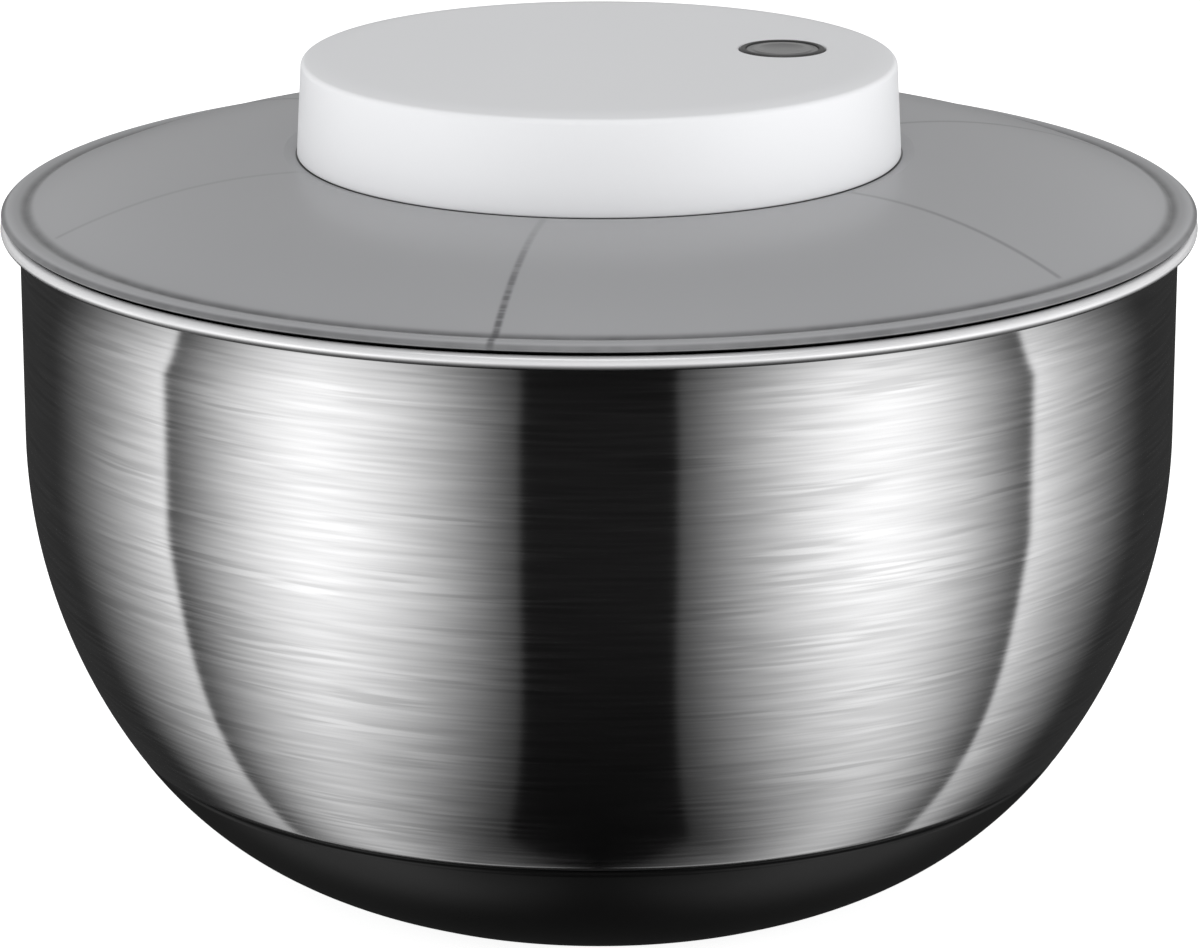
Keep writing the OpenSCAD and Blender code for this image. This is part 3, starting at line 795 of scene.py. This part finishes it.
@dataclass
class Basket:
    """The slotted basket: a perforated moulding, its rim with drive slots, and its hub."""

    inset: float = 9 * MM
    wall: float = 2 * MM
    slots: int = 36
    slot_w: float = 3 * MM
    hub_r: float = 9.5 * MM
    bore_r: float = 6.05 * MM
    lugs: int = 6
    lug_slot_w: float = 9 * MM
    rim_t: float = 2.2 * MM
    floor_z: float = 14 * MM
    floor_slot: tuple[float, float] = (24 * MM, 60 * MM)
    low_tier: tuple[float, float] = (32 * MM, 66 * MM)
    high_tier: tuple[float, float] = (74 * MM, 128 * MM)

    def rows(self, curve: WallCurve) -> list[tuple[float, float, str]]:
        """(r, z, kind) of each ring of points from the hub to the rim; kind names the slots above it."""
        middle = self.inset + self.wall / 2
        start, end = self.floor_slot
        found = [(r * MM, self.floor_z, "") for r in (9.0, 12, 17, 21.5)]
        found += [(start + (end - start) * i / 4, self.floor_z, "floor" if i < 4 else "") for i in range(5)]
        found += [(r * MM, self.floor_z, "") for r in (64, 68.5)]
        heights: list[tuple[float, str]] = [(z * MM, "") for z in (16.2, 19, 23, 28)]
        for (low, high), count in ((self.low_tier, 4), (self.high_tier, 6)):
            heights += [(low + (high - low) * i / count, "wall" if i < count else "")
                for i in range(count + 1)]
            if (low, high) == self.low_tier:
                heights.append(((self.low_tier[1] + self.high_tier[0]) / 2, ""))
        heights += [(z * MM, "") for z in (132, 137.5)]
        for z, kind in heights:
            r = curve.wall_r - middle
            if z < curve.straight_z:
                r, _ = curve.point(middle, curve.angle_at(middle, z))
            found.append((r, z, kind))
        return found

    def build_shell(self) -> None:
        """The floor and wall as one grid with slots left out, thickened and smoothed."""
        curve = Bowl().curve()
        rows = self.rows(curve)
        sector = 2 * math.pi / self.slots
        mesh = bmesh.new()
        rings = []
        for r, z, _ in rows:
            half = min(self.slot_w / 2 / r, 0.3 * sector)
            turns = [i * sector + part for i in range(self.slots) for part in (-half, half, sector / 2)]
            rings.append([mesh.verts.new((r * math.cos(a), r * math.sin(a), z)) for a in turns])
        count = 3 * self.slots
        for row, (_, _, kind) in enumerate(rows[:-1]):
            for i in range(count):
                is_slot = i % 3 == 0
                if is_slot and (kind == "wall" or (kind == "floor" and i % 6 == 0)):
                    continue
                j = (i + 1) % count
                mesh.faces.new([rings[row][i], rings[row][j], rings[row + 1][j], rings[row + 1][i]])
        shell = finished("basket_moulding", mesh, [Slot.BASKET.material()], 80)
        thick = shell.modifiers.new("wall", "SOLIDIFY")
        thick.thickness, thick.offset = self.wall, 0.0
        thick.use_even_offset = True
        smooth = shell.modifiers.new("smooth", "SUBSURF")
        smooth.levels = smooth.render_levels = 2
        settle(shell, "basket", Slot.BASKET, "basket")

    def build_rim(self) -> None:
        """The flat rim, rounded at its edges, with a slot for each lug of the drive plate."""
        low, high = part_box("basket")
        top, out = high.z, high.x
        lip_r = 110.3 * MM
        slot_out = 113.7 * MM
        mesh = bmesh.new()
        segments = 360
        half_slot = self.lug_slot_w / 2 / lip_r
        wall_r = Bowl().curve().wall_r - self.inset
        corners = rounded([(lip_r, top - self.rim_t, 0.5 * MM), (out, top - self.rim_t, 0.7 * MM),
            (out, top, 0.7 * MM), (lip_r, top, 0.5 * MM)], 4)
        rings = []
        for i in range(segments):
            turn = 2 * math.pi * i / segments
            step = 2 * math.pi / self.lugs
            off = abs((turn + step / 2) % step - step / 2)
            blend = min(1.0, max(0.0, (half_slot + 0.006 - off) / 0.006)) if off > half_slot else 1.0
            inner = lip_r + (slot_out - lip_r) * blend
            ring = []
            for r, z in corners:
                share = min(1.0, max(0.0, (out - r) / (out - lip_r)))
                place = r if r > wall_r else r + (inner - lip_r) * (share ** 0.5)
                ring.append(mesh.verts.new((place * math.cos(turn), place * math.sin(turn), z)))
            rings.append(ring)
        for i in range(segments):
            for k in range(len(corners)):
                j, m = (i + 1) % segments, (k + 1) % len(corners)
                mesh.faces.new([rings[i][k], rings[j][k], rings[j][m], rings[i][m]])
        bmesh.ops.recalc_face_normals(mesh, faces=mesh.faces)
        rim = finished("basket_rim", mesh, [Slot.BASKET.material()])
        settle(rim, "basket", Slot.BASKET)

    def build_hub(self) -> None:
        """The closed tube in the floor's middle that turns on the thimble."""
        thimble_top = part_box("pivot_thimble")[1].z
        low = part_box("basket")[0].z
        top = thimble_top + 2.7 * MM
        bore_top = thimble_top + 0.3 * MM
        outline = rounded([(self.bore_r, low, 0.3 * MM), (self.hub_r, low, 0.6 * MM),
            (self.hub_r, top, 1.6 * MM),
            (0, top, 0)], 5, closed=False)[0:] + [(0, bore_top), (self.bore_r, bore_top)]
        hub = revolve("basket_hub", [Strip(outline)], [Slot.BASKET.material()], 96)
        settle(hub, "basket", Slot.BASKET)
        flare = rounded([(self.hub_r - 0.5 * MM, self.floor_z, 0),
            (self.hub_r - 0.5 * MM, self.floor_z + 7 * MM, 0),
            (self.hub_r + 0.2 * MM, self.floor_z + 5 * MM, 4 * MM),
            (self.hub_r + 4 * MM, self.floor_z + 1 * MM, 1 * MM),
            (self.hub_r + 4 * MM, self.floor_z, 0)], 6)
        foot = revolve("basket_hub_flare", [Strip(flare)], [Slot.BASKET.material()], 96)
        settle(foot, "basket", Slot.BASKET)

    def build(self) -> None:
        """Makes the basket's pieces."""
        self.build_shell()
        self.build_rim()
        self.build_hub()


@dataclass
class Lid:
    """The smoke-grey lid with its flange, dome, drum collar and ribs, and its seal."""

    thickness: float = 2.2 * MM
    dome_r: float = 128.8 * MM
    dome_centre_r: float = 72 * MM
    dome_end: float = 66.5
    brow_r: float = 3.4 * MM
    brow: float = 37.4
    valley_r: float = 124.3 * MM
    seat_r: float = 68.5 * MM
    skirt_r: float = 122.6 * MM
    skirt_t: float = 2 * MM
    skirt_z: float = 141 * MM
    collar_r: float = 61 * MM
    collar_t: float = 2 * MM
    lip: float = 0.8 * MM
    hole_r: float = 36 * MM
    pad_r: float = 48 * MM
    pad: float = 1 * MM
    collar_h: float = 5.2 * MM
    flange_t: float = 1.65 * MM
    ribs: int = 6
    rib_turn: float = 20.5
    rib_t: float = 1.5 * MM
    rib_h: float = 3.5 * MM
    edge: Vector = field(default_factory=lambda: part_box("lid_shell")[1])
    glide_r: float = field(default_factory=lambda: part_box("glide_ring")[1].x)
    glide_top: float = field(default_factory=lambda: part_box("glide_ring")[1].z)
    glide_w: float = 3.0 * MM
    groove: float = 0.8 * MM

    def build_shell(self) -> None:
        """The lid's skin as one turned piece."""
        deck = self.edge.z - self.collar_h
        centre = (self.dome_centre_r, deck - self.dome_r)
        under_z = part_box("lid_seal")[1].z
        top_z = under_z + self.flange_t
        swing = math.radians(self.brow)
        brow_c = (self.edge.x - self.brow_r * math.cos(swing), top_z + 0.1 * MM - self.brow_r)
        flange = [(self.skirt_r, under_z), (self.edge.x - 0.4 * MM, under_z)]
        flange += arc(brow_c, self.brow_r, self.brow, 100, 12)
        dome = arc(centre, self.dome_r, self.dome_end, 90, 48)
        valley = rounded([(*flange[-1], 0), (self.valley_r, top_z - 0.4 * MM, 0.4 * MM), (*dome[0], 0.3 * MM),
            (*dome[2], 0)], 6, closed=False)[1:-1]
        glide_in = self.glide_r - self.glide_w
        seat = self.glide_top + 0.1 * MM
        deck_line = rounded([(self.dome_centre_r, deck, 0), (self.seat_r, deck, 0.6 * MM),
            (self.glide_r, seat, 0.1 * MM), (self.glide_r, seat - self.groove, 0.1 * MM),
            (glide_in, seat - self.groove, 0.1 * MM),
            (glide_in, deck, 0.1 * MM), (self.collar_r, deck, 0.2 * MM),
            (self.collar_r, self.edge.z - 1.4 * MM, 0.1 * MM),
            (self.collar_r + self.lip, self.edge.z - 0.6 * MM, 0.1 * MM),
            (self.collar_r + self.lip, self.edge.z, 0.2 * MM),
            (self.collar_r - self.collar_t, self.edge.z, 0.4 * MM),
            (self.collar_r - self.collar_t, deck, 0.3 * MM), (self.hole_r, deck, 0.3 * MM),
            (self.hole_r, deck - self.thickness - self.pad, 0.3 * MM),
            (self.pad_r, deck - self.thickness - self.pad, 0.4 * MM),
            (self.pad_r, deck - self.thickness, 0.4 * MM),
            (self.dome_centre_r, deck - self.thickness, 0)], 4, closed=False)
        under = arc(centre, self.dome_r - self.thickness, 90, self.dome_end + 1.2, 40)
        skirt = rounded([(*under[-1], 0), (self.skirt_r - self.skirt_t, under_z - 0.4 * MM, 0.4 * MM),
            (self.skirt_r - self.skirt_t, self.skirt_z, 0.5 * MM), (self.skirt_r, self.skirt_z, 0.5 * MM),
            (self.skirt_r, under_z, 0)], 4, closed=False)[1:-1]
        lines = (flange, valley, dome[2:-1], deck_line, under[1:], skirt)
        strips = [Strip(line) for line in lines]
        shell = revolve("lid_skin", strips, [Slot.SMOKE.material()], 360)
        settle(shell, "lid", Slot.SMOKE, "lid_shell")

    def build_ribs(self) -> None:
        """The radial ribs under the dome, as thin bars that follow it."""
        deck = self.edge.z - self.collar_h
        centre = (self.dome_centre_r, deck - self.dome_r)
        upper = arc(centre, self.dome_r - 0.8 * self.thickness, 90, self.dome_end + 1.5, 24)
        lower = arc(centre, self.dome_r - self.thickness - self.rib_h, self.dome_end + 1.5, 90, 24)
        outline = [(self.pad_r - 1 * MM, deck - 0.8 * self.thickness)] + upper + lower
        outline += [(self.pad_r - 1 * MM, deck - self.thickness - self.rib_h)]
        mesh = bmesh.new()
        for k in range(self.ribs):
            turn = math.radians(self.rib_turn + 360 * k / self.ribs)
            along = Vector((math.cos(turn), math.sin(turn), 0))
            across = Vector((-math.sin(turn), math.cos(turn), 0))
            sides = []
            for side in (-0.5, 0.5):
                shift = across * (side * self.rib_t)
                sides.append([mesh.verts.new(along * r + shift + Vector((0, 0, z))) for r, z in outline])
            count = len(outline)
            for i in range(count):
                j = (i + 1) % count
                mesh.faces.new([sides[0][i], sides[0][j], sides[1][j], sides[1][i]])
            for side in sides:
                edges = [mesh.edges.get((side[i], side[(i + 1) % count])) for i in range(count)]
                bmesh.ops.triangle_fill(mesh, edges=edges, use_beauty=True)
        bmesh.ops.recalc_face_normals(mesh, faces=mesh.faces)
        ribs = finished("lid_ribs", mesh, [Slot.SMOKE.material()], 30)
        settle(ribs, "lid", Slot.SMOKE)

    def build_seal(self) -> None:
        """The soft seal: a band round the skirt with two wiping lips and a lip over the bead."""
        low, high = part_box("lid_seal")
        lip_t = 0.7 * MM
        band = 124.5 * MM
        root = band - 0.7 * MM
        corners = [(self.skirt_r, low.z, 0.1 * MM), (root, low.z, 0.4 * MM)]
        for z in (low.z + 1.6 * MM, low.z + 3.6 * MM):
            corners += [(root, z - 0.5 * MM, 0.2 * MM), (band, z, 0.25 * MM), (root, z + 0.5 * MM, 0.2 * MM)]
        corners += [(root, high.z - lip_t, 0.3 * MM), (high.x, high.z - lip_t, 0.3 * MM),
            (high.x, high.z, 0.3 * MM),
            (self.skirt_r, high.z, 0)]
        seal = revolve("seal_ring", [Strip(rounded(corners, 4))], [Slot.SILICONE.material()], 256)
        settle(seal, "lid", Slot.SILICONE, "lid_seal")

    def build(self) -> None:
        """Makes the lid's pieces and dresses the gear housing and its fittings."""
        self.build_shell()
        self.build_ribs()
        self.build_seal()
        dress({"gear_housing": Slot.GREY, "housing_screws": Slot.STEEL, "floor_bush": Slot.BRONZE,
            "planet_pins": Slot.STEEL, "glide_ring": Slot.BLACK_ACETAL})


@dataclass
class Drum:
    """The white turning drum and the crank knob in its top."""

    side_t: float = 2.4 * MM
    fillet: float = 1.4 * MM
    taper: float = 1.0 * MM
    chamfer: float = 0.35 * MM
    crown_arc_r: float = 28 * MM
    crown: float = 12.4
    mouth_r: float = 9.5 * MM
    well_r: float = 9.8 * MM
    well_lip_t: float = 1.2 * MM
    knob_r: float = 9.3 * MM
    insert_r: float = 8 * MM
    corner: Vector = field(default_factory=lambda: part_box("drum_cap")[1])
    skirt_z: float = field(default_factory=lambda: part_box("glide_ring")[1].z + 0.1 * MM)

    def knob_axis(self) -> Vector:
        """The knob's axis, from the middle of its insert."""
        low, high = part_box("knob_insert")
        return Vector(((low.x + high.x) / 2, (low.y + high.y) / 2, 0))

    def build_cap(self) -> None:
        """The drum's skin: a top with a soft crown and a round mouth, and a slightly tapered side."""
        top = self.corner.z
        outer = self.corner.x
        top_r = outer - self.taper
        swing = math.radians(self.crown)
        reach = self.crown_arc_r - self.fillet
        crown_c = (top_r - self.fillet - reach * math.sin(swing), top - self.crown_arc_r)
        corner_c = (top_r - self.fillet, crown_c[1] + reach * math.cos(swing))
        crown = arc(crown_c, self.crown_arc_r, 90, 90 - self.crown, 8)
        edge = arc(corner_c, self.fillet, 90 - self.crown, 2, 12)
        roof = top - self.side_t
        lower = rounded([(*edge[-1], 0), (outer, self.skirt_z, self.chamfer),
            (outer - self.side_t, self.skirt_z, 0.5 * MM), (top_r - self.side_t, roof - 1 * MM, 1 * MM),
            (crown_c[0], roof, 0)], 6, closed=False)[1:]
        skin_line = [(0, top)] + crown + edge[1:] + lower + [(0, roof)]
        side = revolve("drum_skin", [Strip(skin_line)], [Slot.DRUM.material()], 360)
        self.cut_mouth(side)
        settle(side, "drum", Slot.DRUM)

    def cut_mouth(self, skin: bpy.types.Object) -> None:
        """Opens the well through the drum's top, up to a thin lip with a rounded mouth."""
        axis = self.knob_axis()
        top = self.corner.z
        lip = 0.45 * MM
        reach = 2 * self.side_t
        step_z = top - self.well_lip_t
        outline = [(0, top - reach), (self.well_r, top - reach)]
        outline += [(self.well_r, step_z), (self.mouth_r, step_z)]
        outline += arc((self.mouth_r + lip, top - lip), lip, 180, 90, 6)
        outline += [(self.mouth_r + lip, top + lip), (0, top + lip)]
        cutter = revolve("mouth_cutter", [Strip(outline)], [Slot.DRUM.material()], 128)
        move(cutter, axis)
        cut = skin.modifiers.new("mouth", "BOOLEAN")
        cut.object, cut.operation, cut.solver = cutter, "DIFFERENCE", "EXACT"
        bpy.context.view_layer.update()
        evaluated = skin.evaluated_get(bpy.context.evaluated_depsgraph_get())
        mesh = bpy.data.meshes.new_from_object(evaluated)
        skin.modifiers.clear()
        skin.data = mesh
        bpy.data.objects.remove(cutter)

    def build_well(self) -> None:
        """The tube under the mouth that the knob slides in."""
        low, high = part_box("knob_carrier")
        top = self.corner.z
        outline = rounded([(self.well_r, low.z - 0.2 * MM, 0), (11.6 * MM, low.z - 0.2 * MM, 0.2 * MM),
            (11.6 * MM, top - self.side_t - 0.05 * MM, 0), (self.well_r, top - self.side_t - 0.05 * MM, 0)])
        well = revolve("knob_well", [Strip(outline)], [Slot.DRUM.material()], 128)
        move(well, self.knob_axis())
        settle(well, "drum", Slot.DRUM)

    def build_core(self) -> None:
        """The hub, the screw bosses and the snap hooks inside the drum, as separate pieces."""
        web_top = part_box("ring_gear")[1].z
        web_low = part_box("ring_gear_screws")[0].z
        roof = self.corner.z - self.side_t
        hub = [(5.5 * MM, web_low), (8 * MM, web_low), (8 * MM, roof), (5.5 * MM, roof)]
        core = revolve("drum_hub", [Strip(hub)], [Slot.DRUM.material()], 96)
        settle(core, "drum", Slot.DRUM)
        for number, turn in enumerate((90, 210, 330), 1):
            outline = rounded([(1.3 * MM, web_top, 0), (4 * MM, web_top, 0.3 * MM), (4 * MM, roof, 0),
                (1.3 * MM, roof, 0)])
            boss = revolve(f"drum_boss_{number}", [Strip(outline)], [Slot.DRUM.material()], 48)
            move(boss, Vector((math.cos(math.radians(turn)), math.sin(math.radians(turn)), 0)) * 22 * MM)
            settle(boss, "drum", Slot.DRUM)
        self.build_hooks()

    def build_hooks(self) -> None:
        """Six hooks inside the skirt that snap under the lid's collar."""
        mesh = bmesh.new()
        reach, wall = 61.3 * MM, self.corner.x - self.side_t + 0.4 * MM
        low = self.skirt_z
        outline = [(reach, low + 3.4 * MM), (wall, low + 2 * MM), (wall, low + 4 * MM),
            (reach, low + 3.9 * MM)]
        for k in range(6):
            turn = math.radians(30 + 60 * k)
            along = Vector((math.cos(turn), math.sin(turn), 0))
            across = Vector((-math.sin(turn), math.cos(turn), 0))
            ends = [[mesh.verts.new(along * r + across * side + Vector((0, 0, z))) for r, z in outline]
                for side in (-5 * MM, 5 * MM)]
            mesh.faces.new(ends[0])
            mesh.faces.new(ends[1][::-1])
            for i in range(4):
                j = (i + 1) % 4
                mesh.faces.new([ends[0][j], ends[0][i], ends[1][i], ends[1][j]])
        bmesh.ops.recalc_face_normals(mesh, faces=mesh.faces)
        hooks = finished("drum_hooks", mesh, [Slot.DRUM.material()], 30)
        soften(hooks, 0.15 * MM)
        settle(hooks, "drum", Slot.DRUM)

    def build_knob(self) -> None:
        """The knob: a turned grip with a groove, and a dished insert in its top."""
        low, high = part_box("knob")
        axis = self.knob_axis()
        screw_r, head_r = 2.55 * MM, 4.4 * MM
        seat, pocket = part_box("knob_insert")[0].z, high.z - 4.3 * MM
        grip = rounded([(screw_r, low.z, 0.1 * MM), (self.knob_r, low.z, 0.5 * MM),
            (self.knob_r, high.z - 6.2 * MM, 0.15 * MM),
            (self.knob_r - 0.35 * MM, high.z - 5.8 * MM, 0.2 * MM),
            (self.knob_r, high.z - 5.4 * MM, 0.15 * MM), (self.knob_r, high.z, 0.6 * MM),
            (self.insert_r, high.z, 0.2 * MM), (self.insert_r, seat, 0), (head_r, seat, 0),
            (head_r, pocket, 0), (screw_r, pocket, 0)], 6)
        knob = revolve("crank_knob", [Strip(grip)], [Slot.DARK.material()], 160)
        move(knob, axis)
        settle(knob, "knob", Slot.DARK, "knob")
        self.build_insert(seat, high.z, axis)

    def build_insert(self, seat: float, top: float, axis: Vector) -> None:
        """The insert: a raised ring round a shallow dish."""
        out = self.insert_r
        dish = [(r * out, top - depth * MM) for r, depth in
            ((0.0, 0.62), (0.2, 0.6), (0.36, 0.52), (0.5, 0.36), (0.58, 0.2))]
        ring = rounded([(*dish[-1], 0), (0.64 * out, top - 0.08 * MM, 0.3 * MM),
            (0.8 * out, top - 0.08 * MM, 0.3 * MM), (0.86 * out, top - 0.35 * MM, 0.2 * MM),
            (0.97 * out, top - 0.3 * MM, 0.2 * MM), (out, top - 0.5 * MM, 0),
            (out, seat, 0)], 5, closed=False)
        insert = revolve("knob_cap", [Strip([(0, seat)] + dish[:-1] + ring)], [Slot.INSERT.material()], 160)
        move(insert, axis)
        settle(insert, "knob", Slot.INSERT, "knob_insert")

    def build(self) -> None:
        """Makes the drum's pieces and dresses the gears and fittings that turn with it."""
        self.build_cap()
        self.build_well()
        self.build_core()
        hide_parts("drum_cap")
        self.build_knob()
        dress({"ring_gear": Slot.ACETAL, "ring_gear_screws": Slot.STEEL, "hub_bush": Slot.BRONZE,
            "knob_well_plug": Slot.DRUM, "knob_carrier": Slot.DARK, "knob_screw": Slot.STEEL})


def soften(piece: bpy.types.Object, width: float) -> None:
    """Rounds a piece's crisp edges."""
    bevel = piece.modifiers.new("soft_edges", "BEVEL")
    bevel.width, bevel.segments = width, 2
    bevel.limit_method, bevel.angle_limit = "ANGLE", math.radians(40)


@dataclass
class DriveTrain:
    """The gears, shaft and plate that turn the basket: exact CAD meshes with their finishes."""

    finishes: dict[str, Slot] = field(default_factory=lambda: {
        "planet_gear_1": Slot.ACETAL,
        "planet_gear_2": Slot.ACETAL,
        "planet_gear_3": Slot.ACETAL,
        "sun_gear": Slot.ACETAL,
        "drive_shaft": Slot.STEEL,
        "shaft_clip": Slot.STEEL,
        "drive_plate": Slot.GREY,
        "plate_nut": Slot.STEEL,
    })

    def build(self) -> None:
        """Dresses the train's nodes."""
        dress(self.finishes)


# ---------------------------------------------------------------- studio


@dataclass(frozen=True)
class Panel:
    """A pair of upright soft panels, one on each side; its angles are degrees round from the front."""

    start: float
    full: float
    end: float
    level: float


@dataclass
class Studio:
    """The floor, the lights, the reflected light panels and the camera."""

    distance: float = 1.2
    elevation: float = 15.9
    aim_z: float = 86.5 * MM
    aim_x: float = 0.2 * MM
    lens: float = 162.8
    sensor: float = 36.0
    dome_r: float = 6.0
    near: Panel = Panel(10, 56, 98, 1.25)
    far: Panel = Panel(92, 94, 138, 0.95)
    fill: float = 0.035
    gap: float = 15.0
    overhead: float = 2.0
    back: float = 0.4

    def eye(self) -> Vector:
        """The camera's place."""
        rise = math.radians(self.elevation)
        back, up = self.distance * math.cos(rise), self.distance * math.sin(rise)
        return Vector((self.aim_x, -back, self.aim_z + up))

    def build_camera(self) -> None:
        """The camera, in front of the spinner and a little above it."""
        data = bpy.data.cameras.new("camera")
        data.lens, data.sensor_width = self.lens, self.sensor
        data.clip_start, data.clip_end = 0.05, 50
        camera = bpy.data.objects.new("camera", data)
        camera.location = self.eye()
        aim = Vector((self.aim_x, 0, self.aim_z)) - camera.location
        camera.rotation_euler = aim.to_track_quat("-Z", "Y").to_euler()
        bpy.context.scene.collection.objects.link(camera)
        bpy.context.scene.camera = camera

    def build_floor(self) -> None:
        """A plain pale floor that glows a little, so that it stays nearly white."""
        data = bpy.data.meshes.new("floor")
        half = 20.0
        floor_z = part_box("base_boot")[0].z
        data.from_pydata([(-half, -half, floor_z), (half, -half, floor_z), (half, half, floor_z),
            (-half, half, floor_z)], [], [(0, 1, 2, 3)])
        floor = bpy.data.objects.new("floor", data)
        bpy.context.scene.collection.objects.link(floor)
        material = bpy.data.materials.new("pale_floor")
        material.use_nodes = True
        Graph(material.node_tree).surface({"Base Color": (0.6, 0.6, 0.6), "Roughness": 0.9,
            "Emission Color": (1.0, 1.0, 1.0), "Emission Strength": 0.86, "Specular IOR Level": 0.0})
        data.materials.append(material)
        floor.visible_glossy = False

    def build_panels(self) -> None:
        """A dome of soft light panels that only shiny surfaces see."""
        bm = bmesh.new()
        bmesh.ops.create_uvsphere(bm, u_segments=64, v_segments=32, radius=self.dome_r)
        material = bpy.data.materials.new("light_panels")
        material.use_nodes = True
        self.fill_panels(Graph(material.node_tree))
        material.cycles.emission_sampling = "NONE"
        dome = finished("light_panels", bm, [material])
        dome.location = (0, 0, self.aim_z)
        for ray in ("camera", "diffuse", "transmission", "volume_scatter", "shadow"):
            setattr(dome, f"visible_{ray}", False)

    def fill_panels(self, graph: Graph) -> None:
        """Side panels that lean outwards, a dark gap in front, a dim back screen and an overhead panel."""
        toward = graph.out("ShaderNodeVectorMath", {"operation": "NORMALIZE"},
            {0: graph.add("ShaderNodeTexCoord").outputs["Object"]})
        parts = graph.add("ShaderNodeSeparateXYZ", sockets={0: toward})
        x, y, z = (Value(graph, socket) for socket in parts.outputs)
        degrees = 180 / math.pi
        turn = graph.out("ShaderNodeMath", {"operation": "ARCTAN2"}, {0: x, 1: y * -1}) * degrees
        rise = graph.out("ShaderNodeMath", {"operation": "ARCSINE"}, {0: z}) * degrees
        low = (rise * -1 - 16).most(0.0)
        lean = (low * low * (1 / 70 ** 2)).least(0.7) * abs(turn).smooth(175, 125)
        reach = abs(turn) * (1 - lean)
        near = reach.smooth(self.near.start, self.near.full) * reach.smooth(self.near.end, self.near.full)
        spread = ((self.far.end - reach) * (1 / (self.far.end - self.far.full))).most(0.0)
        far = reach.smooth(self.far.start, self.far.full) * spread * spread
        sides = near * self.near.level + far * self.far.level + self.fill
        gap = reach.smooth(self.gap + 1, self.gap - 1)
        low_light = (sides * (1 - gap) + gap * (self.fill / 3)) * (1 - low * (0.85 / 74))
        top = (z * 0.996 - y * 0.087).smooth(0.88, 0.995) * self.overhead
        screen = abs(turn).smooth(100, 150) * rise.smooth(48, 14) * self.back
        high_light = top + screen + 4 * self.fill
        light = graph.mix(rise.smooth(-4, 10), low_light, high_light)
        glow = graph.add("ShaderNodeEmission", sockets={"Color": light, "Strength": 1.0})
        graph.add("ShaderNodeOutputMaterial", sockets={"Surface": glow.outputs[0]})

    def build_lights(self) -> None:
        """Left, right and front lights, all large and soft, and an even surround."""
        for name, place, power, size in (
            ("left_light", Vector((-2.0, -0.3, 0.35)), 18.0, 1.2),
            ("right_light", Vector((2.0, -0.3, 0.35)), 23.0, 1.2),
            ("front_light", Vector((0.0, -2.2, 0.3)), 13.0, 1.2),
        ):
            data = bpy.data.lights.new(name, "AREA")
            data.energy, data.size = power, size
            light = bpy.data.objects.new(name, data)
            light.location = place
            aim = Vector((0, 0, self.aim_z)) - place
            light.rotation_euler = aim.to_track_quat("-Z", "Y").to_euler()
            light.visible_glossy = False
            bpy.context.scene.collection.objects.link(light)
        world = bpy.data.worlds.new("surround")
        world.use_nodes = True
        world.cycles_visibility.glossy = False
        graph = Graph(world.node_tree)
        glow = graph.add("ShaderNodeBackground", sockets={"Color": (1.0, 1.0, 1.0, 1.0), "Strength": 0.7})
        graph.add("ShaderNodeOutputWorld", sockets={"Surface": glow.outputs[0]})
        bpy.context.scene.world = world

    def build(self) -> None:
        """Sets up the stage."""
        bpy.context.scene.view_settings.view_transform = "Standard"
        self.build_camera()
        self.build_floor()
        self.build_panels()
        self.build_lights()


def main() -> None:
    """Builds the spinner's looks and the stage."""
    logging.basicConfig(level=logging.INFO, format="%(name)s: %(message)s")
    for assembly in (Bowl(), Basket(), Lid(), Drum(), DriveTrain(), Studio()):
        LOG.info("building %s", type(assembly).__name__)
        assembly.build()


if __name__ == "__main__":
    main()
